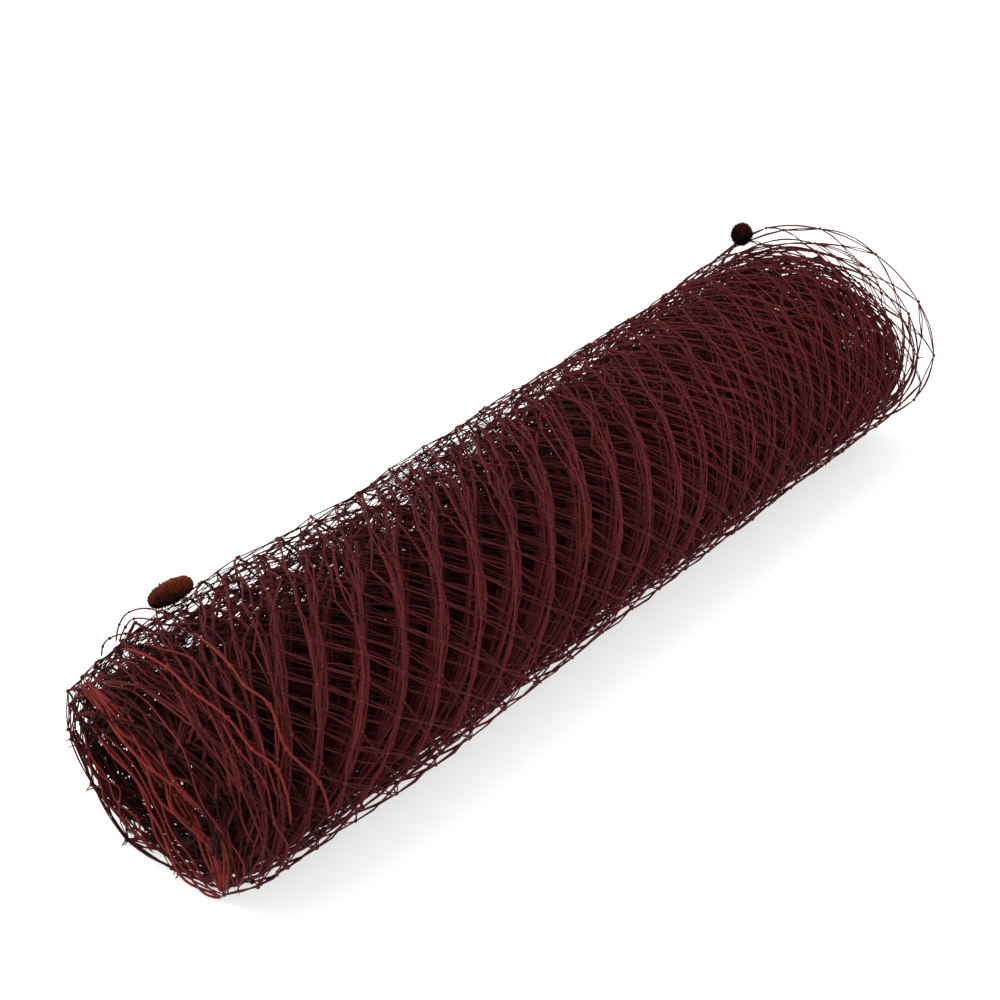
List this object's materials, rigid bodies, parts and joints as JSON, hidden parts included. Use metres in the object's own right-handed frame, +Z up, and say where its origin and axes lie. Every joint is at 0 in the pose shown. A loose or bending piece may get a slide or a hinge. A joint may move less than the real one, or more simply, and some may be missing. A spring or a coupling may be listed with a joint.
{
  "type": "roll of veil netting",
  "caption": "Soft roll of knotted diamond-mesh veil netting lying on its side, with a loose outer turn that stands off the winding and chenille tufts tied into it.",
  "frame": {"origin": "on the surface that the roll lies on, under the middle of the roll", "axes": "+X along the roll, +Y to its back, +Z up"},
  "size_m": [0.23, 0.0668, 0.0536],
  "materials": {
    "veil_net": "soft spun thread dyed dark burgundy, matt with a faint sheen along each strand",
    "chenille": "short dense chenille pile, dark rust brown, matt, lighter at the tips"
  },
  "bodies": {
    "root": {"net_roll": "veil_net", "loose_turn": "veil_net", "chenille_tuft_near": "chenille", "chenille_tuft_far": "chenille"}
  },
  "joints": []
}
